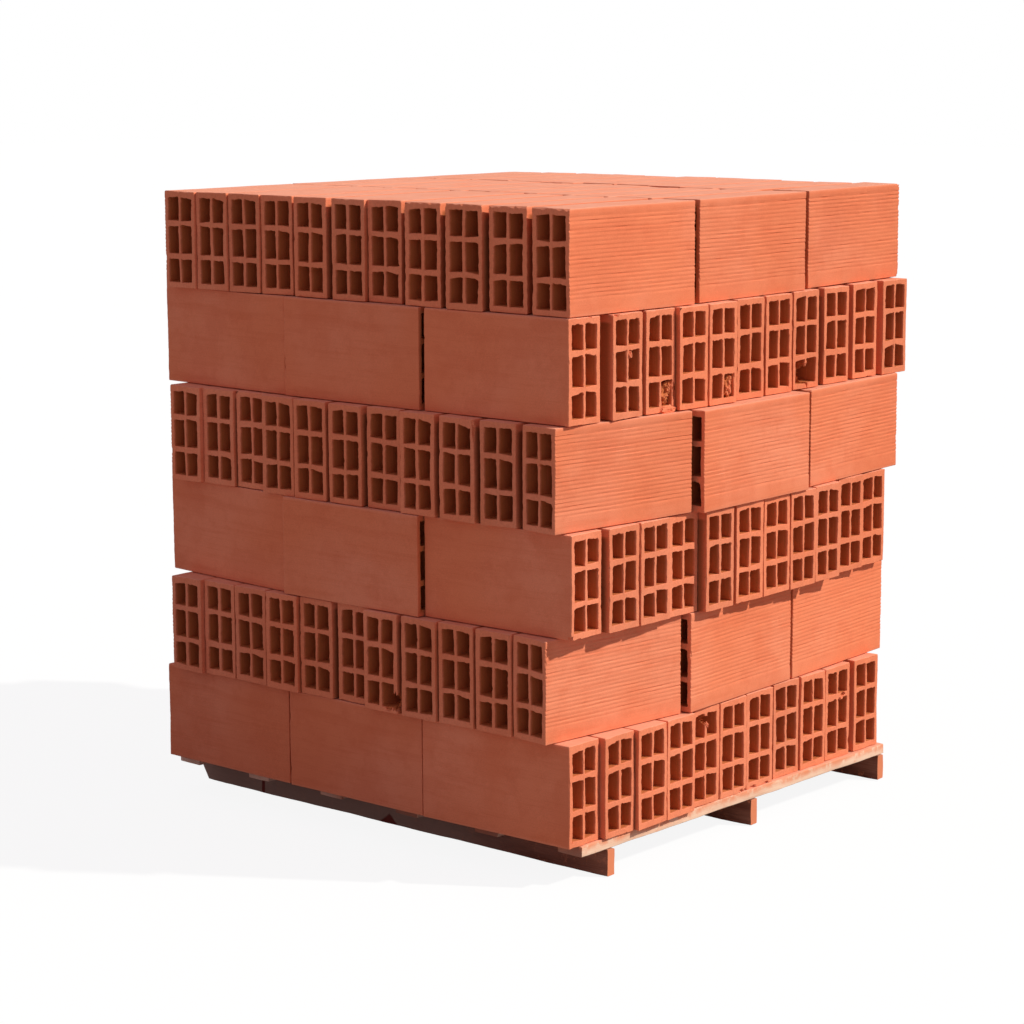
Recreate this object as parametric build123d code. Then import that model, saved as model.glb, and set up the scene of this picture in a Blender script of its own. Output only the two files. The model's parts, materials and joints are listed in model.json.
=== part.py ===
from build123d import *
import math
import os

# Six crossed courses of hollow clay bricks on a light wooden pallet.
# The ground is z = 0. The near corner of the load stands at +X and -Y.
# Odd courses have their bricks along X and show their ends on the +X side.
# Even courses have their bricks along Y and show their ends on the -Y side.

# Brick: two columns of three cells that run through its whole length
brick_thickness = 80
brick_height = 180
brick_length = 330
side_shell = 9
bed_shell = 11
upright_web = 6
level_web = 9
middle_cell_height = 52

# Load: each course has three ranks of bricks, laid end to end
course_count = 6
rank_count = 3
core_clearance = 2
# A brick is laid only where this share of its thickness, or more, is over the course below
least_seat_share = 0.35

# Pallet: boards along Y, nailed on three runners that stand on edge along X
board_count = 6
board_width = 56
board_thickness = 20
board_end_inset = 33.5
deck_side_margin = 9
runner_width = 20
runner_height = 50
runner_overhang = 22
near_runner_inset = 68
far_runner_inset = 2
deck_shift_x = -6
deck_shift_y = -3.5

# How each course was laid, course 1 at the bottom.
# Every share is one of the brick's thickness. A row is listed from the near corner.
# Gap beside each brick of the front row
side_gap_shares = {
    1: (0.05, 0.02, 0.04, 0.07, 0.04, 0.06, 0.15, 0.05, 0.05, 0.20),
    2: (0.03, 0.08, 0.04, 0.12, 0.02, 0.12, 0.04, 0.07, 0.04, 0.02),
    3: (0.12, 0.04, 0.02, 0.02, 0.15, 0.09, 0.04, 0.10, 0.25, 0.08),
    4: (0.15, 0.15, 0.15, 0.08, 0.12, 0.12, 0.04, 0.04, 0.05, 0.02),
    5: (0.31, 0.15, 0.02, 0.02, 0.18, 0.14, 0.17, 0.33, 0.29, 0.22),
    6: (0.22, 0.15, 0.25, 0.24, 0.02, 0.18, 0.12, 0.02, 0.02, 0.02),
}
# How far each brick's end stands out of the load's side
end_out_shares = {
    1: (-0.03, 0.10, 0.20, 0.18, 0.04, 0.04, 0.00, -0.08, -0.05, -0.08, -0.08),
    2: (0.20, 0.18, 0.18, 0.25, 0.28, 0.04, 0.12, 0.20, 0.15, 0.15, 0.25),
    3: (0.00, 0.12, 0.15, 0.12, 0.35, 0.32, 0.28, 0.28, 0.20, -0.02, -0.12),
    4: (0.15, 0.12, 0.15, 0.15, 0.05, 0.12, 0.10, 0.08, -0.12, -0.05, 0.05),
    5: (-0.08, 0.02, 0.00, 0.12, 0.15, 0.02, -0.02, -0.10, -0.18, -0.25, -0.22),
    6: (-0.15, -0.21, -0.11, -0.18, -0.31, -0.21, -0.21, -0.28, -0.23, -0.18, -0.13),
}
# How far the side bricks of the three ranks stand out, at their near and far ends
flank_out_shares = {
    1: ((-0.03, 0.08), (0.05, 0.05), (0.02, -0.02)),
    2: ((-0.45, 0.00), (0.14, -0.09), (-0.08, -0.36)),
    3: ((-0.07, 0.00), (0.18, 0.18), (0.00, -0.36)),
    4: ((-0.22, 0.23), (0.45, 0.34), (0.15, -0.20)),
    5: ((-0.10, -0.15), (-0.12, -0.15), (-0.20, -0.42)),
    6: ((-0.13, 0.00), (-0.07, -0.17), (-0.30, -0.55)),
}
# Gap behind the side brick of the front rank, and behind that of the middle rank
rank_gap_shares = {
    1: (0.04, 0.06),
    2: (0.05, 0.04),
    3: (0.06, 0.14),
    4: (0.04, 0.28),
    5: (0.16, 0.05),
    6: (0.20, 0.28),
}
# How far each brick beside the side brick of the rear rank is pushed out behind its line
rear_jog_shares = (0.02, 0.00, 0.03, 0.22, 0.24, 0.02, 0.10, 0.12, 0.03, 0.00)
# Bricks of the top front row that stand in nodes of their own, counted from the corner
lone_bricks = (1, 2)

cell_width = (brick_thickness - 2 * side_shell - upright_web) / 2
outer_cell_height = (
    brick_height - 2 * bed_shell - 2 * level_web - middle_cell_height
) / 2
load_side = rank_count * brick_length
board_length = load_side - 2 * board_end_inset
deck_span = load_side + 2 * deck_side_margin
deck_top = runner_height + board_thickness

# How a box is placed: standing on the middle of its bed, or reaching inward from its end
STANDING = (Align.CENTER, Align.CENTER, Align.MIN)
FROM_END = (Align.CENTER, Align.MIN, Align.MIN)


def make_block(thickness=brick_thickness, length=brick_length):
    """A plain block, its outer end at y = 0 and its bed at z = 0."""
    return Box(thickness, length, brick_height, align=FROM_END)


def make_brick():
    """A hollow brick, its outer end at y = 0 and its bed at z = 0."""
    column = (cell_width + upright_web) / 2
    row = (middle_cell_height + outer_cell_height) / 2 + level_web
    with BuildPart() as brick:
        with BuildSketch(Plane.XZ.offset(-brick_length)):
            with Locations((0, brick_height / 2)):
                Rectangle(brick_thickness, brick_height)
                with Locations((-column, 0), (column, 0)):
                    Rectangle(cell_width, middle_cell_height, mode=Mode.SUBTRACT)
                    with Locations((0, -row), (0, row)):
                        Rectangle(cell_width, outer_cell_height, mode=Mode.SUBTRACT)
        extrude(amount=brick_length)
    return brick.part.solid()


def from_corner(course, across, inward, turn=0):
    """The place of a brick's outer end, measured from the load's near corner.

    across runs along the side that shows the ends, inward runs into the load, and
    turn swings the inner end of the brick away from the side that shows its length.
    """
    height = deck_top + (course - 1) * brick_height
    half = load_side / 2
    if course % 2 == 0:
        return Location((half - across, inward - half, height), (0, 0, turn))
    return Location((half - inward, across - half, height), (0, 0, 90 - turn))


def flank_places(course):
    """Across, inward and turn of the three bricks that show their long side."""
    places = []
    inward = -end_out_shares[course][0] * brick_thickness
    gap_shares = rank_gap_shares[course] + (0,)
    for (near_share, far_share), gap_share in zip(flank_out_shares[course], gap_shares):
        swing = (far_share - near_share) * brick_thickness
        turn = math.degrees(math.asin(swing / brick_length))
        across = (0.5 - near_share) * brick_thickness
        places.append((across, inward, -turn))
        inward += brick_length + gap_share * brick_thickness
    return places


def front_row(course):
    """Across and inward of the bricks beside the corner brick of the front rank."""
    across = (0.5 - flank_out_shares[course][0][0]) * brick_thickness
    last_across = load_side + (0.5 - least_seat_share) * brick_thickness
    row = []
    for gap_share, out_share in zip(side_gap_shares[course], end_out_shares[course][1:]):
        across += (1 + gap_share) * brick_thickness
        if across <= last_across:
            row.append((across, -out_share * brick_thickness))
    return row


def spread_row(row, first_across):
    """Across of the bricks of a hidden row, spread evenly up to the end of the front row."""
    step = (row[-1][0] - first_across) / len(row)
    return [first_across + step * index for index in range(1, len(row) + 1)]


def inner_face(place):
    """The deepest across that a turned flank brick reaches, at its middle line."""
    across, _, turn = place
    swing = brick_length * math.sin(math.radians(turn))
    return across + max(0, swing)


def laid_behind(row, across):
    """The inward of a brick at this place across, laid up to the bricks of a row."""
    ahead = [inward for centre, inward in row if abs(centre - across) < brick_thickness]
    return max(ahead) + brick_length + core_clearance


def near_corner(place):
    """The least inward that the outer end of a turned flank brick reaches."""
    _, inward, turn = place
    return inward - brick_thickness / 2 * abs(math.sin(math.radians(turn)))


def lay_course(course, brick):
    """The solids of one course: front rank, middle rank, core and rear rank."""
    flank = flank_places(course)
    row = front_row(course)
    front = [from_corner(course, *flank[0]) * brick]
    front += [from_corner(course, *place) * brick for place in row]

    middle_across = spread_row(row, inner_face(flank[1]))
    middle_row = [(across, laid_behind(row, across)) for across in middle_across]
    middle = [from_corner(course, *flank[1]) * brick]
    middle.append(from_corner(course, *middle_row[-1]) * brick)

    rear_across = spread_row(row, inner_face(flank[2]))
    if course == course_count:
        block = make_block()
        core = [from_corner(course, *place) * block for place in middle_row[:-1]]
        rear_inward = [laid_behind(middle_row, across) for across in rear_across]
    else:
        core_start = max(place[1] for place in row) + brick_length + core_clearance
        core_length = near_corner(flank[2]) - core_start - core_clearance
        first_across = inner_face(flank[1])
        room = middle_across[-1] - first_across - brick_thickness
        block = make_block(room - 2 * core_clearance, core_length)
        centre = (first_across + middle_across[-1]) / 2
        core = [from_corner(course, centre, core_start) * block]
        rear_inward = [flank[2][1]] * len(rear_across)

    rear = [from_corner(course, *flank[2]) * brick]
    for across, inward, jog_share in zip(rear_across, rear_inward, rear_jog_shares):
        rear.append(from_corner(course, across, inward + jog_share * brick_thickness) * brick)
    return front, middle, core, rear


def lay_load():
    """Every node of the brick load."""
    brick = make_brick()
    nodes = {}
    for course in range(1, course_count + 1):
        front, middle, core, rear = lay_course(course, brick)
        if course == course_count:
            for index in lone_bricks:
                nodes[f"course_{course}_front_brick_{index + 1}"] = [front[index]]
            front = [solid for index, solid in enumerate(front) if index not in lone_bricks]
        nodes[f"course_{course}_front_rank"] = front
        nodes[f"course_{course}_middle_rank"] = middle
        nodes[f"course_{course}_rear_rank"] = rear
        nodes[f"course_{course}_core"] = core
    return nodes


def make_pallet():
    """Every node of the pallet: deck boards along Y on runners along X."""
    nodes = {}
    board_pitch = (deck_span - board_width) / (board_count - 1)
    for index in range(board_count):
        x = deck_shift_x - deck_span / 2 + board_width / 2 + index * board_pitch
        board = Box(board_width, board_length, board_thickness, align=STANDING)
        nodes[f"deck_board_{index + 1}"] = [Pos(x, deck_shift_y, runner_height) * board]
    near_y = deck_shift_y - board_length / 2 + near_runner_inset + runner_width / 2
    far_y = deck_shift_y + board_length / 2 - far_runner_inset - runner_width / 2
    runner_x = deck_shift_x - runner_overhang / 2
    for name, y in (("near", near_y), ("middle", (near_y + far_y) / 2), ("far", far_y)):
        runner = Box(deck_span + runner_overhang, runner_width, runner_height, align=STANDING)
        nodes[f"{name}_runner"] = [Pos(runner_x, y, 0) * runner]
    return nodes


def centred(nodes):
    """The same nodes with the middle of the whole over the origin."""
    bounds = [solid.bounding_box() for node in nodes.values() for solid in node]
    middle_x = (min(box.min.X for box in bounds) + max(box.max.X for box in bounds)) / 2
    middle_y = (min(box.min.Y for box in bounds) + max(box.max.Y for box in bounds)) / 2
    shift = Pos(-middle_x, -middle_y, 0)
    return {name: [shift * solid for solid in node] for name, node in nodes.items()}


def write_parts():
    os.makedirs("parts", exist_ok=True)
    for name, solids in centred(lay_load() | make_pallet()).items():
        shape = solids[0] if len(solids) == 1 else Compound(label=name, children=solids)
        export_step(shape, f"parts/{name}.step")


write_parts()
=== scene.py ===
"""Hollow clay bricks in crossed courses on a light wooden pallet.

Every brick is laid where the frame has it. Its section is drawn with worn arrises, leaning
webs and cells that the cutting wire dragged out of true, and the side bricks of the even
courses carry the grooves of the die. The pallet is sawn timber under brick dust.
"""

import json
import math
from collections import namedtuple

import bmesh
import bpy
import numpy as np
from bpy.props import FloatProperty, FloatVectorProperty, IntProperty, PointerProperty
from bpy.types import Operator, Panel, PropertyGroup
from mathutils import Euler, Matrix, Vector, noise as clay_noise
from mathutils.geometry import delaunay_2d_cdt

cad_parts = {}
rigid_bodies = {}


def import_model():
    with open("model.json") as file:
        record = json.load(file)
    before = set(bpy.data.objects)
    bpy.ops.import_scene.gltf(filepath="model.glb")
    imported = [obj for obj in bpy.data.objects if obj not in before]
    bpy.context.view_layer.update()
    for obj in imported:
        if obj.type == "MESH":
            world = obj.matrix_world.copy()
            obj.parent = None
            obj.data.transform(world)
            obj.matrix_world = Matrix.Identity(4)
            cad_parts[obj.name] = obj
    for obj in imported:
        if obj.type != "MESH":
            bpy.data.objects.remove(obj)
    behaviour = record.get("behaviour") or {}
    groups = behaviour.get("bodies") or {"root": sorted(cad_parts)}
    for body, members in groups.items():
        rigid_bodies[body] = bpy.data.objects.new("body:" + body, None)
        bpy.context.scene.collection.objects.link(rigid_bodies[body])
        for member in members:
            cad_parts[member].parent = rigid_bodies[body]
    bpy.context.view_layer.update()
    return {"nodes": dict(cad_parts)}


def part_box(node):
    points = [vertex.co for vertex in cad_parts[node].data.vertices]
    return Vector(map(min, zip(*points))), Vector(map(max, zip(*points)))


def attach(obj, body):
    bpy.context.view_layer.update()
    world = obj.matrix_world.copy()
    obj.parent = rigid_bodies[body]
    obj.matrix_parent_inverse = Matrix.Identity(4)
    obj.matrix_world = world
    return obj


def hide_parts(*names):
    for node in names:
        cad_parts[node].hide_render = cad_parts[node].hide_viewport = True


bl_info = {
    "name": "Pallet of Bricks",
    "version": (1, 0, 0),
    "blender": (4, 5, 0),
    "location": "View3D > Sidebar > Bricks",
    "description": "Dresses a pallet of hollow clay bricks and lights it in a plain studio",
    "category": "Object",
}

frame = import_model()

MM = 0.001
COURSES = range(1, 7)
RANKS = ("front_rank", "middle_rank", "rear_rank")
LONE_NODES = ("course_6_front_brick_2", "course_6_front_brick_3")
BOARDS = tuple(f"deck_board_{number}" for number in range(1, 7))
RUNNERS = ("near_runner", "middle_runner", "far_runner")
BRICKS_IN_RANK = 11
PICTURE_WIDTH = 1024
# Half the side of the floor, in metres
FLOOR_HALF = 30

# The near runner, in millimetres: where along X its two timbers meet, where its foot has a patch of
# painted shade for a notch, how far the foot of its -X end is cut back, and over what length
RUNNER_SEAM = -348
RUNNER_NOTCH_SHADE = -16
SLANT_DEPTH = 28
SLANT_REACH = 90
# Seeds of the wandering edges of the timber
BOARD_SEED = 5
RUNNER_SEED = 8

# A cell that the wire dragged comes true over this depth, but for a share of the drag
TRUE_DEPTH = 18 * MM
KEPT_DRAG = 0.35
# How deep the rings of points of a plain brick lie behind its end
PLAIN_RINGS = [6 * MM, 18 * MM, 60 * MM, 150 * MM, 240 * MM]
# How many rings a ribbed brick has, and how far they stay from its two ends
RIBBED_RINGS = 24
RIBBED_MARGINS = (8 * MM, 10 * MM)
# Bites in the arris round a brick's end, round a cell's, and on its back
OUTER_BITES, CELL_BITES, BACK_BITES = 3, 1, 2
# Edges sharper than this stay sharp on clay, and on timber
CLAY_CREASE = math.radians(28)
TIMBER_CREASE = math.radians(35)
# Scale of each noise on a lump, and its share of the lump's size
LUMP_NOISE = ((1.9, 0.38), (4.7, 0.26), (10.3, 0.13))
# Bricks of a family are picked with this stride, so that no two alike lie side by side
LOOK_STRIDE = 5

# A look is one made brick: how far apart its points are, its ribbed side, how much longer it
# is than usual, how much its cut end is spread, how far its top edge is torn, whether it has
# neighbours on both sides, so that painted shade darkens its sides, and its harm.
Look = namedtuple("Look", "step ribbed longer spread torn hemmed harm", defaults=(0, 0, 0, 0, False, ()))
# Harm is a list of bites out of the brick and lumps stuck to it: kind, centre and half sizes
# in millimetres, from the middle of the foot of its outer end, inward along y.
BITE, LUMP = "DIFFERENCE", "UNION"
# Broken bricks by node, and by their number in it from the load's near corner
BROKEN = {
    ("course_6_rear_rank", 0): ((BITE, (-44, -2, 183), (13, 13, 15)), (BITE, (-44, -2, -5), (11, 11, 13))),
    ("course_6_core", 2): ((BITE, (-6, 0, 184), (46, 24, 13)),),
    ("course_6_core", 5): ((BITE, (0, 0, 184), (40, 19, 12)),),
    ("course_5_front_rank", 0): ((BITE, (16, 0, 182), (6, 8, 5)),),
    ("course_5_front_rank", 1): ((LUMP, (6, 3, 108), (5, 5, 6)), (BITE, (-30, 0, 178), (7, 5, 5))),
    ("course_5_front_rank", 2): (
        (BITE, (37, -2, 36), (4, 9, 17)), (BITE, (22, -3, 6), (20, 7, 8)),
        (LUMP, (18, 20, 27), (15, 14, 19)), (LUMP, (28, 12, 40), (8, 9, 12)),
        (LUMP, (19, 1, 4), (22, 5, 7)),
    ),
    ("course_5_front_rank", 4): (
        (LUMP, (19, 9, 23), (9, 8, 12)), (LUMP, (23, 11, 38), (8, 8, 13)), (LUMP, (15, 13, 35), (6, 6, 10)),
    ),
    ("course_5_front_rank", 7): ((BITE, (1, 2, 26), (7, 28, 20)), (LUMP, (0, 5, 49), (4, 4, 8))),
    ("course_1_front_rank", 4): ((BITE, (0, 2, 155), (6, 14, 8)), (LUMP, (3, 3, 146), (4, 4, 5))),
    ("course_1_front_rank", 5): ((BITE, (24, -1, 2), (9, 6, 5)), (BITE, (37, -1, 0), (6, 6, 6))),
    ("course_1_front_rank", 6): ((BITE, (-20, -1, 0), (14, 6, 5)), (BITE, (22, -2, 1), (8, 6, 4))),
    ("course_1_front_rank", 9): ((BITE, (17, -1, 121), (9, 7, 4)), (LUMP, (12, 3, 115), (7, 4, 4))),
    ("course_2_front_rank", 4): ((BITE, (36, 4, 23), (9, 18, 17)), (BITE, (20, -1, 9), (9, 7, 6))),
    ("course_3_front_rank", 0): ((BITE, (-42, 0, -2), (10, 12, 11)), (BITE, (-20, 0, -2), (9, 6, 4))),
    ("course_4_front_rank", 2): ((BITE, (41, -1, 160), (5, 7, 22)), (BITE, (20, -1, 181), (16, 7, 4))),
}


# Sizes and colours that a user would change


def length_prop(name, description, millimetres):
    """A length, given in millimetres."""
    return FloatProperty(name=name, description=description, default=millimetres * MM, unit="LENGTH")


def colour_prop(name, description, default):
    """A colour."""
    return FloatVectorProperty(
        name=name, description=description, subtype="COLOR", size=3, default=default, min=0, max=1
    )


def angle_prop(name, description, degrees):
    """An angle, given in degrees."""
    return FloatProperty(
        name=name, description=description, default=math.radians(degrees), subtype="ANGLE"
    )


def share_prop(name, description, default):
    """A share, from nothing to all."""
    return FloatProperty(name=name, description=description, default=default, min=0, max=1)


def count_prop(name, description, default, least):
    """A number of like things."""
    return IntProperty(name=name, description=description, default=default, min=least)


class BrickSizes(PropertyGroup):
    """The section of one brick, its wear and the grooves on its long sides."""

    thickness: length_prop("Thickness", "Across the two columns of cells", 79)
    height: length_prop("Height", "From bed to bed", 178.6)
    length: length_prop("Length", "Along the cells", 329)
    side_shell: length_prop("Side shell", "Wall beside the cells", 8.5)
    bed_shell: length_prop("Bed shell", "Wall under and over the cells", 10.5)
    upright_web: length_prop("Upright web", "Wall between the two columns", 6)
    level_web: length_prop("Level web", "Wall between two cells of a column", 9)
    middle_cell: length_prop("Middle cell", "Height of the middle cells", 52)
    arris: length_prop("Arris wear", "How far the cut edges are worn back", 0.8)
    drag: length_prop("Wire drag", "How far a cell's corners are dragged out of true", 1.1)
    groove_count: count_prop("Grooves", "Grooves on a ribbed side", 20, 1)
    groove_depth: length_prop("Groove depth", "Depth of the grooves of the die", 0.75)
    top_band: length_prop("Top band", "Smooth band over the grooves", 12)
    foot_band: length_prop("Foot band", "Smooth band under the grooves", 25)
    unevenness: length_prop("Unevenness", "Warp left by drying and firing", 0.8)
    torn_top: length_prop("Torn top", "How far the cutting wire tore the top edge of an end", 1.5)
    lit_rim: length_prop("Lit rim", "Height under the top of a side that stays light in a gap", 14)
    near_step: length_prop("Near step", "Spacing of points on bricks that are seen from near by", 5)
    far_step: length_prop("Far step", "Spacing of points on the other bricks", 14)
    near_count: count_prop("Near looks", "Different plain bricks for the front ranks", 14, 4)
    far_count: count_prop("Far looks", "Different plain bricks for the other ranks", 8, 4)
    side_count: count_prop("Side looks", "Different bricks for each kind of side", 4, 2)
    torn_count: count_prop("Torn looks", "Different bricks with a torn top edge", 3, 1)
    seed: IntProperty(name="Seed", description="Seed of all that differs between bricks", default=11)


class ClayLook(PropertyGroup):
    """Colours of the fired clay."""

    body: colour_prop("Body", "Main colour of the clay", (0.80, 0.222, 0.102))
    # The pale colour also serves as a painted highlight on worn edges
    pale: colour_prop("Pale", "Colour of the paler clouds and rubbed edges", (0.84, 0.268, 0.143))
    deep: colour_prop("Deep", "Colour of the harder fired clouds", (0.70, 0.165, 0.072))
    # Painted shade: the colour that the cells, and the sides of bricks in gaps, grow dark towards
    cell: colour_prop("Cell", "Colour deep inside the cells", (0.56, 0.160, 0.052))
    dust: colour_prop("Dust", "Colour of dust on upward faces", (0.815, 0.378, 0.252))
    roughness: share_prop("Roughness", "Roughness of the clay", 0.86)


class TimberLook(PropertyGroup):
    """Colours and shape of the sawn timber."""

    pale: colour_prop("Pale", "Early wood of the boards", (0.90, 0.63, 0.46))
    deep: colour_prop("Deep", "Late wood of the boards", (0.76, 0.43, 0.28))
    runner_pale: colour_prop("Runner pale", "Early wood of the runners", (0.34, 0.135, 0.085))
    runner_deep: colour_prop("Runner deep", "Late wood of the runners", (0.17, 0.050, 0.028))
    weathered: colour_prop("Weathered", "Grey of the runners off their clean ends", (0.36, 0.245, 0.185))
    # Painted shade of the runners' seam and of the patch that stands for a notch at the foot
    notch_shade: colour_prop("Runner_Shade", "Colour of the runners' seam and knot", (0.12, 0.014, 0.008))
    end_dust: colour_prop("End dust", "Clay dust on the sawn ends", (0.78, 0.25, 0.12))
    wane: length_prop("Wane", "How far the sawn edges wander", 1.2)


class StageLook(PropertyGroup):
    """Camera, light and floor."""

    camera_place: FloatVectorProperty(
        name="Camera", description="Place of the camera", subtype="TRANSLATION", size=3,
        default=(3.3826, -3.9730, 1.4080)
    )
    camera_yaw: angle_prop("Yaw", "Turn of the view from +Y towards -X", 40.999)
    camera_pitch: angle_prop("Pitch", "How far the view looks down", 9.544)
    camera_roll: angle_prop("Roll", "Roll of the camera", -0.242)
    focal_share: FloatProperty(
        name="Focal length", description="In picture widths", default=2760.8 / PICTURE_WIDTH
    )
    sun_azimuth: angle_prop("Sun azimuth", "From +X towards +Y", 33)
    sun_elevation: angle_prop("Sun elevation", "Above the horizon", 41)
    sun_width: angle_prop("Sun width", "How wide the key light is, which softens its shadows", 1.6)
    sun_strength: FloatProperty(name="Sun", description="Strength of the key light", default=3.6)
    sun_colour: colour_prop("Sun colour", "Colour of the key light", (1.0, 0.985, 0.90))
    sky_strength: FloatProperty(name="Sky", description="Strength of the even fill light", default=0.335)
    sky_colour: colour_prop("Sky colour", "Colour of the even fill light", (1.0, 0.83, 1.0))
    floor_bounce: share_prop("Floor bounce", "How pale the floor is to the object", 0.36)
    floor_glow: share_prop("Floor glow", "Share of the seen floor that no shadow reaches", 0.90)


# Node trees


def feed(tree, node, values):
    """Fills a node's sockets with values or links."""
    for key, value in values.items():
        if isinstance(value, bpy.types.NodeSocket):
            tree.links.new(value, node.inputs[key])
        else:
            node.inputs[key].default_value = value


def add_node(tree, kind, inputs=None, **settings):
    """Adds a node, applies its settings, and fills its inputs with values or links."""
    made = tree.nodes.new(kind)
    for name, value in settings.items():
        setattr(made, name, value)
    feed(tree, made, inputs or {})
    return made


def new_tree(name, kind, inputs, outputs):
    """A node group with its named sockets, and its input and output nodes."""
    tree = bpy.data.node_groups.new(name, kind)
    for in_out, sockets in (("INPUT", inputs), ("OUTPUT", outputs)):
        for title, socket in sockets.items():
            tree.interface.new_socket(title, in_out=in_out, socket_type=f"NodeSocket{socket}")
    return tree, tree.nodes.new("NodeGroupInput"), tree.nodes.new("NodeGroupOutput")


def calculate(tree, operation, first, second=0.0, clamp=False):
    """The result of one sum on two values or sockets."""
    made = add_node(tree, "ShaderNodeMath", {0: first, 1: second}, operation=operation, use_clamp=clamp)
    return made.outputs[0]


def plus(tree, first, second):
    """The sum of two values or sockets."""
    return calculate(tree, "ADD", first, second)


def minus(tree, first, second):
    """The first value or socket less the second."""
    return calculate(tree, "SUBTRACT", first, second)


def times(tree, first, second):
    """The product of two values or sockets."""
    return calculate(tree, "MULTIPLY", first, second)


def larger(tree, first, second):
    """The larger of two values or sockets."""
    return calculate(tree, "MAXIMUM", first, second)


def distance(tree, first, second):
    """How far one value or socket is from another."""
    return calculate(tree, "ABSOLUTE", minus(tree, first, second))


def along_axes(tree, vector):
    """The X, Y and Z of a vector."""
    return add_node(tree, "ShaderNodeSeparateXYZ", {0: vector}).outputs


def mix_colour(tree, factor, first, second, blend="MIX"):
    """One colour mixed into another."""
    inputs = {0: factor, 6: first, 7: second}
    return add_node(tree, "ShaderNodeMix", inputs, data_type="RGBA", blend_type=blend).outputs[2]


def noise(tree, vector, scale, detail=4.0, roughness=0.5):
    """The factor of a noise texture."""
    inputs = {"Vector": vector, "Scale": scale, "Detail": detail, "Roughness": roughness}
    return add_node(tree, "ShaderNodeTexNoise", inputs).outputs[0]


def ramp(tree, value, low, high):
    """0 under low, 1 over high and smooth between."""
    inputs = {"Value": value, "From Min": low, "From Max": high}
    return add_node(tree, "ShaderNodeMapRange", inputs, interpolation_type="SMOOTHSTEP").outputs[0]


def scaled(tree, vector, scale):
    """A vector stretched along its axes."""
    return add_node(tree, "ShaderNodeVectorMath", {0: vector, 1: scale}, operation="MULTIPLY").outputs[0]


def worn_edges(tree, place, world, half_thickness, height):
    """How far a spot lies behind the cut end, how worn it is there, and how much any edge is worn pale and
    painted with a highlight.
    """
    across, behind, over = along_axes(tree, place)
    side = minus(tree, half_thickness, calculate(tree, "ABSOLUTE", across))
    middle = times(tree, height, 0.5)
    bed = minus(tree, middle, distance(tree, over, middle))
    corner = larger(tree, plus(tree, side, bed), 0.0)
    end = larger(tree, behind, 0.0)
    wander = times(tree, noise(tree, world, 130.0, 2.0), 4.2 * MM)
    near_end = minus(tree, 1.0, ramp(tree, minus(tree, end, wander), 0.0, 2.2 * MM))
    near_corner = minus(tree, 1.0, ramp(tree, minus(tree, corner, wander), 0.0, 2.4 * MM))
    worn_end = times(tree, near_end, 0.55)
    return end, worn_end, larger(tree, worn_end, near_corner)


def clay_group():
    """Clouds, drag lines and specks of fired clay, its worn edges with a painted highlight, and painted
    shade in its cells and gaps.
    """
    tree, ins, outs = new_tree(
        "fired_clay_surface", "ShaderNodeTree",
        {
            "Place": "Vector", "World": "Vector", "Tone": "Float", "In Cell": "Float", "In Gap": "Float",
            "Body": "Color", "Pale": "Color", "Deep": "Color", "Cell": "Color",
            "Half Thickness": "Float", "Height": "Float",
        },
        {"Color": "Color", "Relief": "Float"},
    )
    given = ins.outputs
    place, world = given["Place"], given["World"]
    clouds = noise(tree, world, 3.6, 3.0)
    stains = noise(tree, world, 9.0, 6.0, 0.62)
    clots = noise(tree, world, 38.0, 6.0, 0.65)
    chips = noise(tree, world, 240.0, 5.0, 0.72)
    grit = noise(tree, world, 420.0, 3.0, 0.6)
    specks = noise(tree, world, 520.0, 3.0, 0.7)
    lines = noise(tree, scaled(tree, place, (520.0, 9.0, 520.0)), 1.0, 2.0)
    smears = noise(tree, scaled(tree, place, (60.0, 5.0, 60.0)), 1.0, 4.0, 0.6)
    strokes = noise(tree, scaled(tree, place, (70.0, 230.0, 22.0)), 1.0, 4.0, 0.6)

    # Paler clouds, then four patterns of the deep colour, each from low to high by a share
    colour = mix_colour(tree, ramp(tree, clouds, 0.36, 0.68), given["Body"], given["Pale"])
    patterns = (
        (stains, 0.46, 0.62, 0.34), (clots, 0.50, 0.70, 0.26), (lines, 0.52, 0.75, 0.24),
        (smears, 0.50, 0.66, 0.26),
    )
    for pattern, low, high, share in patterns:
        amount = times(tree, ramp(tree, pattern, low, high), share)
        colour = mix_colour(tree, amount, colour, given["Deep"])

    # Edges worn pale, which also paints a highlight along the arrises
    end, worn_end, rubbed_and_highlit = worn_edges(tree, place, world, given["Half Thickness"], given["Height"])
    colour = mix_colour(tree, times(tree, rubbed_and_highlit, 0.6), colour, given["Pale"])

    # Painted shade: the cells grow dark behind the cut end, and so do the sides of hemmed bricks in the
    # gaps, with strokes of the body colour in the cells
    cell_shade = times(tree, given["In Cell"], ramp(tree, end, 0.4 * MM, 7.5 * MM))
    between = times(tree, given["In Gap"], ramp(tree, end, 0.0, 16 * MM))
    colour = mix_colour(tree, larger(tree, cell_shade, times(tree, between, 0.8)), colour, given["Cell"])
    stroked = times(tree, times(tree, ramp(tree, strokes, 0.50, 0.72), cell_shade), 0.30)
    colour = mix_colour(tree, stroked, colour, given["Body"])

    # Light and dark: specks everywhere, chips on the cut end, painted shade in the gaps and the brick's
    # tone
    speckle = plus(tree, times(tree, specks, 0.34), 0.83)
    speckle = plus(tree, speckle, times(tree, minus(tree, chips, 0.5), worn_end))
    speckle = minus(tree, speckle, times(tree, between, 0.42))
    level = times(tree, plus(tree, times(tree, given["Tone"], 0.055), 1.0), speckle)
    shade = add_node(tree, "ShaderNodeCombineXYZ", {0: level, 1: level, 2: level})
    colour = mix_colour(tree, 1.0, colour, shade.outputs[0], "MULTIPLY")

    relief = plus(tree, times(tree, grit, 0.5), times(tree, lines, 0.5))
    relief = plus(tree, relief, times(tree, clots, 0.4))
    feed(tree, outs, {"Color": colour, "Relief": relief})
    return tree


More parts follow.
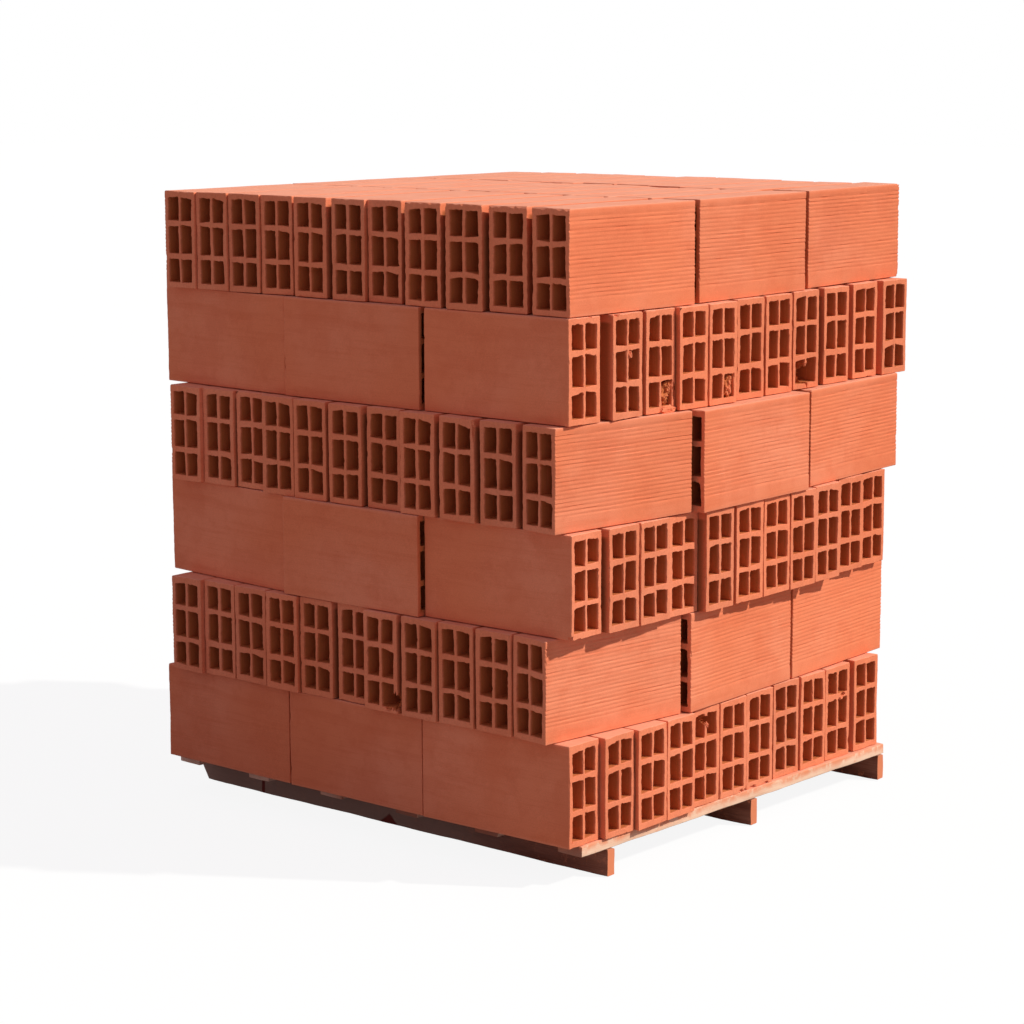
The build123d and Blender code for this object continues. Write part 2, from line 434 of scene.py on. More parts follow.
def dust_group():
    """Dust that lies in patches on faces that look up."""
    tree, ins, outs = new_tree(
        "settled_dust", "ShaderNodeTree",
        {"World": "Vector", "Color": "Color", "Dust": "Color", "Amount": "Float"},
        {"Color": "Color"},
    )
    _, _, up = along_axes(tree, add_node(tree, "ShaderNodeNewGeometry").outputs["Normal"])
    patches = ramp(tree, noise(tree, ins.outputs["World"], 14.0, 6.0, 0.62), 0.30, 0.62)
    patches = plus(tree, times(tree, patches, 0.30), 0.70)
    lies = times(tree, ramp(tree, up, 0.55, 0.95), patches)
    amount = times(tree, lies, ins.outputs["Amount"])
    feed(tree, outs, {"Color": mix_colour(tree, amount, ins.outputs["Color"], ins.outputs["Dust"])})
    return tree


def grain_group():
    """Long grain, saw marks and cracks of sawn softwood."""
    tree, ins, outs = new_tree(
        "sawn_grain", "ShaderNodeTree",
        {"Along Grain": "Vector", "Pale": "Color", "Deep": "Color"},
        {"Color": "Color", "Relief": "Float"},
    )
    along = ins.outputs["Along Grain"]
    bend = noise(tree, scaled(tree, along, (2.5, 9.0, 9.0)), 1.0, 2.0)
    fibres = noise(tree, scaled(tree, along, (18.0, 700.0, 700.0)), 1.0, 3.0)
    stains = noise(tree, scaled(tree, along, (5.0, 22.0, 22.0)), 1.0, 5.0, 0.6)
    _, across, up = along_axes(tree, scaled(tree, along, (2.0, 120.0, 150.0)))
    wave = times(tree, times(tree, bend, 2.2), 6.0)
    rings = calculate(tree, "SINE", plus(tree, plus(tree, across, up), wave))
    dark = plus(tree, times(tree, ramp(tree, rings, -0.4, 0.9), 0.35),
                times(tree, ramp(tree, fibres, 0.45, 0.7), 0.35))
    dark = calculate(tree, "ADD", dark, times(tree, ramp(tree, stains, 0.42, 0.66), 0.5), clamp=True)
    saw = calculate(tree, "SINE", along_axes(tree, scaled(tree, along, (1900.0, 0.0, 0.0)))[0])
    feed(tree, outs, {
        "Color": mix_colour(tree, dark, ins.outputs["Pale"], ins.outputs["Deep"]),
        "Relief": plus(tree, fibres, times(tree, saw, 0.12)),
    })
    return tree


def shared_group(name, build):
    """A node group that is built at its first use."""
    return bpy.data.node_groups.get(name) or build()


def new_material(name):
    """An empty material, its tree and its Principled shader."""
    material = bpy.data.materials.new(name)
    material.use_nodes = True
    return material, material.node_tree, material.node_tree.nodes["Principled BSDF"]


def clad(tree, shader, colour, relief, roughness, specular, strength):
    """Gives the shader its colour, its dullness, and relief that only the light sees."""
    inputs = {"Height": relief, "Strength": strength, "Distance": 0.6 * MM}
    feed(tree, shader, {
        "Base Color": colour, "Roughness": roughness, "Specular IOR Level": specular,
        "Normal": add_node(tree, "ShaderNodeBump", inputs).outputs[0],
    })


def dusted(tree, world, colour, amount):
    """A colour with settled dust on it."""
    inputs = {
        "World": world, "Color": colour, "Dust": (*bpy.context.scene.clay_look.dust, 1), "Amount": amount,
    }
    group = shared_group("settled_dust", dust_group)
    return add_node(tree, "ShaderNodeGroup", inputs, node_tree=group).outputs["Color"]


def clay_material(name, laid):
    """Fired clay. Laid bricks carry their own place and tone, and the hidden core has none."""
    look, sizes = bpy.context.scene.clay_look, bpy.context.scene.brick_sizes
    material, tree, shader = new_material(name)
    world = add_node(tree, "ShaderNodeTexCoord").outputs["Object"]
    carried = {"Place": world, "Tone": 0.0, "In Cell": 0.0, "In Gap": 0.0}
    if laid:
        for socket in carried:
            attribute = socket.lower().replace(" ", "_")
            read = add_node(tree, "ShaderNodeAttribute", attribute_name=attribute)
            carried[socket] = read.outputs["Vector" if socket == "Place" else "Fac"]
    clay = add_node(tree, "ShaderNodeGroup", {
        **carried, "World": world, "Body": (*look.body, 1), "Pale": (*look.pale, 1),
        "Deep": (*look.deep, 1), "Cell": (*look.cell, 1), "Half Thickness": sizes.thickness / 2,
        "Height": sizes.height,
    }, node_tree=shared_group("fired_clay_surface", clay_group))
    colour = dusted(tree, world, clay.outputs["Color"], minus(tree, 0.84, carried["In Cell"]))
    clad(tree, shader, colour, clay.outputs["Relief"], look.roughness, specular=0.12, strength=0.75)
    return material


def shaded_board_ends(tree, colour, at_end, along_x):
    """Painted shade on the boards' ends, which get as dark as the runners towards +X."""
    end_shade = times(tree, at_end, ramp(tree, along_x, -0.16, 0.02))
    runner_pale = bpy.context.scene.timber_look.runner_pale
    return mix_colour(tree, times(tree, end_shade, 0.85), colour, (*runner_pale, 1))


def weathered_and_shaded_runner(tree, colour, world, along_x, height):
    """A runner, grey but for its clean +X end, with painted shade in its seam and in a patch at its foot.
    """
    look = bpy.context.scene.timber_look
    clean = plus(tree, along_x, times(tree, noise(tree, world, 9.0, 4.0), 0.2))
    grey = times(tree, minus(tree, 1.0, ramp(tree, clean, 0.12, 0.50)), 0.8)
    colour = mix_colour(tree, grey, colour, (*look.weathered, 1))
    # Painted shade: the seam of the two timbers, and a patch at the foot that stands for a notch
    seam = ramp(tree, distance(tree, along_x, RUNNER_SEAM * MM), 2.5 * MM, 6 * MM)
    across = times(tree, distance(tree, along_x, RUNNER_NOTCH_SHADE * MM), 36.0)
    up = plus(tree, times(tree, height, 46.0), times(tree, noise(tree, world, 45.0, 4.0), 0.4))
    notch_shade = ramp(tree, plus(tree, across, up), 0.95, 1.25)
    dark = larger(tree, minus(tree, 1.0, seam), minus(tree, 1.0, notch_shade))
    return mix_colour(tree, dark, colour, (*look.notch_shade, 1))


def timber_material(name, pale, deep, is_board, end_share):
    """Sawn timber: boards with their grain along Y, or runners with it along X.

    Clay dust lies on its sawn ends, in flecks, and in crumbs under the load.
    """
    material, tree, shader = new_material(name)
    end_dust = (*bpy.context.scene.timber_look.end_dust, 1)
    world = add_node(tree, "ShaderNodeTexCoord").outputs["Object"]
    turn = math.radians(90) if is_board else 0.0
    along = add_node(tree, "ShaderNodeMapping", {"Vector": world, "Rotation": (0, 0, turn)}).outputs[0]
    grain = add_node(tree, "ShaderNodeGroup", {
        "Along Grain": along, "Pale": (*pale, 1), "Deep": (*deep, 1),
    }, node_tree=shared_group("sawn_grain", grain_group))
    facing = along_axes(tree, add_node(tree, "ShaderNodeNewGeometry").outputs["Normal"])
    at_end = ramp(tree, calculate(tree, "ABSOLUTE", facing[1 if is_board else 0]), 0.6, 0.9)
    along_x, _, height = along_axes(tree, world)

    spots = plus(tree, ramp(tree, noise(tree, world, 11.0, 5.0, 0.6), 0.36, 0.60), end_share)
    spots = calculate(tree, "MINIMUM", spots, 1.0)
    if is_board:
        # On the boards this dust thins out towards -X, leaving those ends paler
        spots = times(tree, spots, ramp(tree, along_x, -0.30, 0.30))
    spots = times(tree, at_end, times(tree, spots, 0.9))
    colour = mix_colour(tree, spots, grain.outputs["Color"], end_dust)
    flecks = times(tree, ramp(tree, noise(tree, world, 60.0, 6.0, 0.7), 0.55, 0.72), 0.6)
    colour = mix_colour(tree, flecks, colour, end_dust)
    if is_board:
        colour = shaded_board_ends(tree, colour, at_end, along_x)
    else:
        colour = weathered_and_shaded_runner(tree, colour, world, along_x, height)
    crumbs = ramp(tree, noise(tree, world, 34.0, 6.0, 0.7), 0.37, 0.53)
    reach = plus(tree, height, times(tree, noise(tree, world, 21.0, 5.0), 20 * MM))
    crumbs = times(tree, times(tree, crumbs, ramp(tree, reach, 64 * MM, 78 * MM)), 0.85)
    colour = mix_colour(tree, crumbs, colour, end_dust)
    colour = dusted(tree, world, colour, 0.8)
    clad(tree, shader, colour, grain.outputs["Relief"], roughness=0.82, specular=0.2, strength=0.5)
    return material


# The section of a brick


class Loop:
    """One closed line of a brick's section: its outline, or the edge of one cell."""

    def __init__(self, points, centre, pull, grooves=None, phase=0.0):
        self.points = np.asarray(points, float)
        self.centre = centre
        self.grooves = np.zeros(len(self.points)) if grooves is None else grooves
        low, high = self.points.min(axis=0), self.points.max(axis=0)
        share = (self.points - low) / (high - low)
        right, top = share[:, :1], share[:, 1:]
        self.pulled = (
            pull[0] * (1 - right) * (1 - top) + pull[1] * right * (1 - top)
            + pull[2] * right * top + pull[3] * (1 - right) * top
        )
        run = np.linalg.norm(np.diff(self.points, axis=0, append=self.points[:1]), axis=1)
        self.run = np.cumsum(run) / run.sum() * 2 * math.pi
        self.phase = phase

    def at(self, depth, ripple):
        """The line at one or several depths behind the end face."""
        fade = (KEPT_DRAG + (1 - KEPT_DRAG) * np.exp(-depth / TRUE_DEPTH))[:, None]
        wave = ripple * (
            np.sin(5 * self.run + self.phase + 31 * depth) + 0.6 * np.sin(11 * self.run - 2 * self.phase)
        )
        moved = self.points + self.pulled * fade + self.outward() * wave[:, None]
        grooved = np.abs(self.grooves) > 0
        weave = np.sin(23 * depth + self.phase) + 0.7 * np.sin(61 * depth + 9 * self.points[:, 1] / 0.05)
        moved[:, 1] += grooved * 0.5 * MM * weave
        height = self.points[:, 1]
        swell = 1 + 0.30 * np.sin(41 * depth + 170 * height + self.phase)
        swell += 0.34 * np.sin(93 * depth - 410 * height + 3 * self.phase)
        moved[:, 0] -= self.grooves * np.maximum(swell, 0.15)
        return moved + self.centre

    def outward(self):
        """The unit normal at each point, out of the line."""
        ahead, behind = np.roll(self.points, -1, axis=0), np.roll(self.points, 1, axis=0)
        along = ahead - behind
        normal = np.stack((along[:, 1], -along[:, 0]), axis=1)
        return normal / np.linalg.norm(normal, axis=1)[:, None]


def rounded_box(width, height, radii, step):
    """Points round a box, counter-clockwise from its lower right corner."""
    points = []
    corners = ((1, -1), (1, 1), (-1, 1), (-1, -1))
    for index, ((right, top), radius) in enumerate(zip(corners, radii)):
        centre = np.array((right * (width / 2 - radius), top * (height / 2 - radius)))
        for part in range(4):
            angle = math.radians(90 * index - 90 + 30 * part)
            points.append(centre + radius * np.array((math.cos(angle), math.sin(angle))))
    outline = []
    for here, ahead in zip(points, points[1:] + points[:1]):
        count = max(1, round(float(np.linalg.norm(ahead - here)) / step))
        outline += [here + (ahead - here) * part / count for part in range(count)]
    return np.array(outline)


def brick_outline(sizes, ribbed, step, rng):
    """The outline of a brick, with the grooves of the die on its ribbed side."""
    points = rounded_box(sizes.thickness, sizes.height, rng.uniform(1.2, 2.6, 4) * MM, step)
    if not ribbed:
        return points, None
    low = -sizes.height / 2 + sizes.foot_band
    pitch = (sizes.height - sizes.foot_band - sizes.top_band) / sizes.groove_count
    levels, depths = [], []
    for index in range(sizes.groove_count):
        depth = sizes.groove_depth * rng.uniform(0.5, 1.2)
        for share, deep in ((0.0, 0.0), (0.30, 0.0), (0.58, depth), (0.72, depth)):
            levels.append(low + (index + share) * pitch)
            depths.append(deep)
    levels.append(low + sizes.groove_count * pitch)
    depths.append(0.0)
    on_side = np.abs(points[:, 0] - ribbed * sizes.thickness / 2) < 0.01 * MM
    inside = on_side & (points[:, 1] > low - 2 * MM) & (points[:, 1] < levels[-1] + 2 * MM)
    first = int(np.argmax(inside))
    kept = [point for point, drop in zip(points, inside) if not drop]
    if ribbed < 0:
        levels.reverse()
        depths.reverse()
    strip = [np.array((ribbed * sizes.thickness / 2, level)) for level in levels]
    outline = np.array(kept[:first] + strip + kept[first:])
    grooves = np.zeros(len(outline))
    grooves[first:first + len(strip)] = ribbed * np.array(depths)
    return outline, grooves


def cell_boxes(sizes):
    """Centre, width, height and level of each cell, in the section's own middle."""
    width = (sizes.thickness - 2 * sizes.side_shell - sizes.upright_web) / 2
    outer = (sizes.height - 2 * sizes.bed_shell - 2 * sizes.level_web - sizes.middle_cell) / 2
    offset = (width + sizes.upright_web) / 2
    row = (sizes.middle_cell + outer) / 2 + sizes.level_web
    for column in (-1, 1):
        for level, height in ((-1, outer), (0, sizes.middle_cell), (1, outer)):
            yield np.array((column * offset, level * row)), width, height, column, level


def section_loops(sizes, ribbed, step, rng):
    """The outline and the six cells of one brick."""
    outline, grooves = brick_outline(sizes, ribbed, step, rng)
    lean = rng.normal(0, 0.35 * MM, (4, 2))
    loops = [Loop(outline, np.zeros(2), lean, grooves, rng.uniform(0, 6))]
    for centre, width, height, column, level in cell_boxes(sizes):
        radii = rng.uniform(0.8, 2.0, 4) * MM
        radii[1:3] = rng.uniform(0.8, 3.6, 2) * MM
        pull = rng.normal(0, sizes.drag, (4, 2)) * (0.6, 0.8)
        outer_top = 2 if column > 0 else 3
        pull[outer_top, 1] -= abs(rng.normal(0, 1.6 * MM))
        box = rounded_box(width, height, radii, step)
        loop = Loop(box, centre, pull, phase=rng.uniform(0, 6))
        ragged = np.where(box[:, 1] > height * 0.3, 1.0, 0.35) * sizes.drag * 0.45
        loop.pulled += rng.normal(0, 1, loop.pulled.shape) * ragged[:, None]
        loops.append(loop)
    return loops


def crossings(points, line):
    """How often a ray from each point to the right crosses a closed line."""
    ahead = np.roll(line, -1, axis=0)
    x, z = points[:, :1], points[:, 1:]
    spans = (line[:, 1] > z) != (ahead[:, 1] > z)
    rise = np.where(np.abs(ahead[:, 1] - line[:, 1]) < 1e-12, 1e-12, ahead[:, 1] - line[:, 1])
    where = line[:, 0] + (z - line[:, 1]) / rise * (ahead[:, 0] - line[:, 0])
    return (spans & (x < where)).sum(axis=1)


def fill_section(lines):
    """Triangles, counter-clockwise, between the outline and the cells."""
    points = np.concatenate(lines)
    edges, start = [], 0
    for line in lines:
        count = len(line)
        edges += [(start + index, start + (index + 1) % count) for index in range(count)]
        start += count
    found = delaunay_2d_cdt([Vector(point) for point in points], edges, [], 0, 1e-7)
    sources = found[3]
    triangles = []
    for face in found[2]:
        if len(face) == 3 and all(sources[corner] for corner in face):
            triangles.append([sources[corner][0] for corner in face])
    triangles = np.array(triangles)
    middles = points[triangles].mean(axis=1)
    inside = sum(crossings(middles, line) for line in lines) % 2 == 1
    triangles = triangles[inside]
    a, b, c = (points[triangles[:, corner]] for corner in range(3))
    area = (b[:, 0] - a[:, 0]) * (c[:, 1] - a[:, 1]) - (c[:, 0] - a[:, 0]) * (b[:, 1] - a[:, 1])
    triangles[area < 0] = triangles[area < 0][:, ::-1]
    return triangles


def worn_arris(loop, sizes, rng, bites, torn=0.0):
    """How far the cut edge is worn back at each point of a line, with a few bites."""
    worn = sizes.arris * rng.uniform(0.6, 1.35, len(loop.points))
    for _ in range(bites):
        where, reach = rng.uniform(0, 2 * math.pi), rng.uniform(0.03, 0.10)
        gap = np.abs((loop.run - where + math.pi) % (2 * math.pi) - math.pi)
        worn += rng.uniform(0.6, 2.4) * MM * np.exp(-((gap / reach) ** 2))
    top = loop.points[:, 1] > 0.49 * sizes.height
    return worn + top * torn * sizes.torn_top * rng.uniform(0, 1, len(worn)) ** 2


def loop_lines(loop, is_cell, sizes, look, rng):
    """The closed lines of one loop from the end face to the back, and how deep they lie."""
    worn = worn_arris(loop, sizes, rng, CELL_BITES if is_cell else OUTER_BITES, look.torn)
    worn_back = worn_arris(loop, sizes, rng, BACK_BITES)
    ripple = (0.22 if is_cell else 0.10) * MM
    inward = loop.outward() * (1 if is_cell else -1)
    length = sizes.length + look.longer
    if look.ribbed:
        rings = np.linspace(RIBBED_MARGINS[0], length - RIBBED_MARGINS[1], RIBBED_RINGS)
        rings = rings[:: 6 if is_cell else 1]
    else:
        rings = PLAIN_RINGS[:: 2 if is_cell else 1]
    cut, back = np.zeros(len(worn)), np.full(len(worn), length)
    depths = [worn] + [np.full(len(worn), depth) for depth in rings] + [back - worn_back]
    lines = [(depth, loop.at(depth, ripple)) for depth in depths]
    lines.insert(0, (cut, loop.at(cut, ripple) + inward * worn[:, None] * 0.8))
    lines.append((back, loop.at(back, ripple) + inward * worn_back[:, None] * 0.8))
    return lines


def wall_faces(starts, count, inside_out=False):
    """Quads between closed lines of points, which start at these numbers."""
    here = np.arange(count)
    ahead = (here + 1) % count
    faces = []
    for near, far in zip(starts, starts[1:]):
        quads = (near + here, far + here, far + ahead, near + ahead)
        faces += np.column_stack(quads[::-1] if inside_out else quads).tolist()
    return faces


def spread_end(vertices, spread, rng):
    """Bows the cut end a little, and spreads it as the cutting wire did."""
    bow = 0.5 * MM * np.sin(130 * vertices[:, 0] + rng.uniform(0, 6)) * np.cos(37 * vertices[:, 2])
    wider = spread * np.exp(-vertices[:, 1] / (9 * MM))
    vertices[:, 0] *= 1 + wider * (1 + 0.25 * np.sin(310 * vertices[:, 2] + rng.uniform(0, 6)))
    vertices[:, 1] += np.where(vertices[:, 1] < 4 * MM, 0.8 * MM + bow, 0.0)


def brick_mesh(name, sizes, look, rng):
    """One hollow brick, its outer end at y = 0 and its bed at z = 0."""
    loops = section_loops(sizes, look.ribbed, look.step, rng)
    stack = [loop_lines(loop, index > 0, sizes, look, rng) for index, loop in enumerate(loops)]
    vertices, faces, front, rear = [], [], [], []
    total = 0
    for index, lines in enumerate(stack):
        count = len(lines[0][0])
        starts = [total + count * number for number in range(len(lines))]
        total += count * len(lines)
        for depth, line in lines:
            vertices.append(np.column_stack((line[:, 0], depth, line[:, 1] + sizes.height / 2)))
        faces += wall_faces(starts, count, inside_out=index > 0)
        front.append(starts[0] + np.arange(count))
        rear.append(starts[-1] + np.arange(count))
    cut_face = fill_section([lines[0][1] for lines in stack])
    faces += np.concatenate(front)[cut_face].tolist()
    faces += np.concatenate(rear)[cut_face[:, ::-1]].tolist()

    vertices = np.concatenate(vertices)
    spread_end(vertices, look.spread, rng)
    mesh = bpy.data.meshes.new(name)
    mesh.from_pydata(vertices.tolist(), [], faces)
    mesh.validate()
    return mesh


def rough_lump(centre, half_sizes, rng):
    """A jagged lump of clay, which is also the shape of a bite."""
    shell = bmesh.new()
    bmesh.ops.create_icosphere(shell, subdivisions=4, radius=1)
    shift = Vector(rng.uniform(-9, 9, 3))
    for vertex in shell.verts:
        rough = sum(share * clay_noise.noise(vertex.co * scale + shift) for scale, share in LUMP_NOISE)
        spot = vertex.co * (1 + rough)
        vertex.co = [(middle + half * part) * MM for middle, half, part in zip(centre, half_sizes, spot)]
    mesh = bpy.data.meshes.new("lump")
    shell.to_mesh(mesh)
    shell.free()
    return link_object("lump", mesh)


def harmed(mesh, harm, rng):
    """The mesh of a brick after its bites are taken out and its lumps are added."""
    brick = link_object("brick", mesh)
    lumps = []
    for kind, centre, half_sizes in harm:
        lumps.append(rough_lump(centre, half_sizes, rng))
        cut = brick.modifiers.new("harm", "BOOLEAN")
        cut.operation, cut.solver, cut.object = kind, "EXACT", lumps[-1]
        cut.use_self = True
    bpy.context.view_layer.update()
    graph = bpy.context.evaluated_depsgraph_get()
    result = bpy.data.meshes.new_from_object(brick.evaluated_get(graph))
    for used in (brick, *lumps):
        bpy.data.objects.remove(used)
    return result


def store_place(mesh, sizes, look):
    """Keeps each point's place in its own brick, and whether it lies in the cells or in a gap, where the
    clay paints shade.
    """
    flat = np.empty(len(mesh.vertices) * 3, np.float32)
    mesh.vertices.foreach_get("co", flat)
    mesh.attributes.new("place", "FLOAT_VECTOR", "POINT").data.foreach_set("vector", flat)
    from_middle, height, skin = np.abs(flat[::3]), flat[2::3], 4 * MM
    within = from_middle < sizes.thickness / 2 - skin
    within &= np.abs(height - sizes.height / 2) < sizes.height / 2 - skin
    beside = (from_middle > sizes.thickness / 2 - skin) & (height < sizes.height - sizes.lit_rim)
    for name, found in (("in_cell", within), ("in_gap", beside & look.hemmed)):
        marks = mesh.attributes.new(name, "FLOAT", "POINT").data
        marks.foreach_set("value", found.astype(np.float32))


# Where the frame has the bricks


class Place:
    """One brick of the frame: its outer end, its turn and the side that it shows."""

    def __init__(self, corners, low):
        corners = sorted(corners, key=lambda corner: (round(corner.x, 5), round(corner.y, 5)))
        first = corners[0]
        along = sorted(corners[1:], key=lambda corner: (corner - first).length)[1] - first
        centre = sum(corners, Vector((0, 0, 0))) / len(corners)
        outward = along.normalized()
        if centre.dot(outward) < 0:
            outward.negate()
        self.end = centre + outward * along.length / 2
        self.end.z = low
        self.turn = math.atan2(outward.x, -outward.y)
        self.side = centre.dot(Vector((math.cos(self.turn), math.sin(self.turn), 0)))
        self.from_corner = -centre.x if abs(outward.y) > abs(outward.x) else centre.y


def brick_places(node):
    """The places of a node's bricks, counted from the load's near corner."""
    shell = bmesh.new()
    shell.from_mesh(frame["nodes"][node].data)
    bmesh.ops.remove_doubles(shell, verts=shell.verts, dist=0.01 * MM)
    unseen, places = set(shell.verts), []
    while unseen:
        island, edge = [], [unseen.pop()]
        while edge:
            vertex = edge.pop()
            island.append(vertex.co.copy())
            for link in vertex.link_edges:
                other = link.other_vert(vertex)
                if other in unseen:
                    unseen.discard(other)
                    edge.append(other)
        low = min(point.z for point in island)
        places.append(Place([point for point in island if point.z < low + 0.01 * MM], low))
    shell.free()
    return sorted(places, key=lambda place: place.from_corner)


def link_object(name, mesh):
    """A new object in the scene, at the origin."""
    made = bpy.data.objects.new(name, mesh)
    bpy.context.scene.collection.objects.link(made)
    return made


def finish_piece(piece, slot, *nodes):
    """Puts a piece on the root body and hides the CAD nodes that it stands for; its slot is not used."""
    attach(piece, "root")
    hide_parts(*nodes)


# Laying the bricks


def laying_tree():
    """Geometry nodes that lay bricks on points, warp them a little and paint them."""
    tree, ins, outs = new_tree(
        "lay_bricks", "GeometryNodeTree",
        {
            "Geometry": "Geometry", "Bricks": "Collection", "Clay": "Material",
            "Unevenness": "Float", "Seed": "Int",
        },
        {"Geometry": "Geometry"},
    )
    given = ins.outputs
    look = add_node(tree, "GeometryNodeInputNamedAttribute", {"Name": "look"}, data_type="INT")
    turn = add_node(tree, "GeometryNodeInputNamedAttribute", {"Name": "turn"}, data_type="FLOAT_VECTOR")
    rotation = add_node(tree, "FunctionNodeEulerToRotation", {0: turn.outputs["Attribute"]})
    bricks = add_node(tree, "GeometryNodeCollectionInfo", {
        "Collection": given["Bricks"], "Separate Children": True, "Reset Children": True,
    })
    laid = add_node(tree, "GeometryNodeInstanceOnPoints", {
        "Points": given["Geometry"], "Instance": bricks.outputs[0], "Pick Instance": True,
        "Instance Index": look.outputs["Attribute"], "Rotation": rotation.outputs[0],
    })
    tone = add_node(
        tree, "FunctionNodeRandomValue", {2: -1.0, 3: 1.0, "Seed": given["Seed"]}, data_type="FLOAT"
    )
    toned = add_node(tree, "GeometryNodeStoreNamedAttribute", {
        "Geometry": laid.outputs[0], "Name": "tone", "Value": tone.outputs[1],
    }, data_type="FLOAT", domain="INSTANCE")
    real = add_node(tree, "GeometryNodeRealizeInstances", {0: toned.outputs[0]})
    where = add_node(tree, "GeometryNodeInputPosition").outputs[0]
    warp = add_node(tree, "ShaderNodeTexNoise", {"Vector": where, "Scale": 17.0, "Detail": 3.0})
    centred = add_node(tree, "ShaderNodeVectorMath", {
        0: warp.outputs["Color"], 1: (0.5, 0.5, 0.5),
    }, operation="SUBTRACT")
    offset = add_node(tree, "ShaderNodeVectorMath", {
        0: centred.outputs[0], "Scale": given["Unevenness"],
    }, operation="SCALE")
    moved = add_node(tree, "GeometryNodeSetPosition", {
        "Geometry": real.outputs[0], "Offset": offset.outputs[0],
    })
    painted = add_node(tree, "GeometryNodeSetMaterial", {
        "Geometry": moved.outputs[0], "Material": given["Clay"],
    })
    feed(tree, outs, {"Geometry": painted.outputs[0]})
    return tree


def set_inputs(modifier, values):
    """Sets a node modifier's inputs by the names that its tree gives them."""
    for item in modifier.node_group.interface.items_tree:
        if item.in_out == "INPUT" and item.name in values:
            modifier[item.identifier] = values[item.name]


def made_real(carrier, name):
    """The evaluated mesh of a carrier object, under a new name, with the carrier deleted."""
    bpy.context.view_layer.update()
    graph = bpy.context.evaluated_depsgraph_get()
    mesh = bpy.data.meshes.new_from_object(carrier.evaluated_get(graph))
    mesh.name = name
    bpy.data.objects.remove(carrier)
    mesh.shade_smooth()
    mesh.set_sharp_from_angle(angle=CLAY_CREASE)
    return mesh


def look_families(sizes):
    """Every made brick, by the family that it belongs to."""
    near, few = sizes.near_step, sizes.side_count
    plain = Look(near, spread=0.018, torn=0.8, hemmed=True)
    families = {
        "near": [plain] * sizes.near_count,
        "far": [Look(sizes.far_step, hemmed=True)] * sizes.far_count,
        "side": [Look(near, longer=3.6 * MM, spread=0.012, torn=0.3)] * few,
        "ribbed_left": [Look(near, ribbed=-1, spread=0.01, torn=0.6)] * few,
        "ribbed_right": [Look(near, ribbed=1, spread=0.01, torn=0.6)] * few,
        "torn": [Look(near, spread=0.055, torn=3.0, hemmed=True)] * sizes.torn_count,
        "torn_corner": [Look(near, ribbed=1, spread=0.045, torn=3.0)],
        "foot_side": [Look(near, longer=1.2 * MM, spread=0.012, torn=0.3)] * few,
    }
    for (node, index), harm in BROKEN.items():
        ribbed = -1 if node == "course_6_rear_rank" else 0
        families[node, index] = [plain._replace(ribbed=ribbed, hemmed=index > 0, harm=harm)]
    return families


def make_looks(sizes):
    """A collection of different bricks, and the numbers of those of each family."""
    looks = bpy.data.collections.new("brick_looks")
    numbers = {}
    for family, members in look_families(sizes).items():
        numbers[family] = []
        for look in members:
            index = len(looks.objects)
            rng = np.random.default_rng((sizes.seed, index))
            mesh = brick_mesh(f"look_{index:02d}", sizes, look, rng)
            if look.harm:
                mesh = harmed(mesh, look.harm, rng)
            store_place(mesh, sizes, look)
            looks.objects.link(bpy.data.objects.new(f"look_{index:02d}", mesh))
            numbers[family].append(index)
    return looks, numbers


def pick_family(node, index, place):
    """The family of bricks that suits a place."""
    course = int(node.split("_")[1])
    on_side = abs(place.side) > 0.38
    top_end = course == 6 and "front" in node and place.from_corner < -0.15
    if (node, index) in BROKEN:
        return node, index
    if on_side and course % 2:
        return "side" if course > 1 else "foot_side"
    if on_side:
        return "ribbed_left" if place.side < 0 else "torn_corner" if top_end else "ribbed_right"
    if "front" in node:
        return "torn" if top_end else "near"
    return "far"


def lay_bricks(node, looks, numbers, clay, tree, order):
    """One piece that holds all the bricks of a CAD node."""
    sizes = bpy.context.scene.brick_sizes
    places = brick_places(node)
    points = bpy.data.meshes.new("brick_points")
    points.from_pydata([tuple(place.end) for place in places], [], [])
    picks = []
    for index, place in enumerate(places):
        family = numbers[pick_family(node, index, place)]
        picks.append(family[(order + index) * LOOK_STRIDE % len(family)])
    points.attributes.new("look", "INT", "POINT").data.foreach_set("value", picks)
    turns = np.array([(0, 0, place.turn) for place in places], np.float32).ravel()
    points.attributes.new("turn", "FLOAT_VECTOR", "POINT").data.foreach_set("vector", turns)
    carrier = link_object("brick_carrier", points)
    modifier = carrier.modifiers.new("lay", "NODES")
    modifier.node_group = tree
    set_inputs(modifier, {
        "Bricks": looks, "Clay": clay, "Unevenness": sizes.unevenness, "Seed": sizes.seed + order,
    })
    piece = link_object(f"{node}_bricks", made_real(carrier, f"{node}_bricks"))
    finish_piece(piece, "fired_clay", node)


# The timber


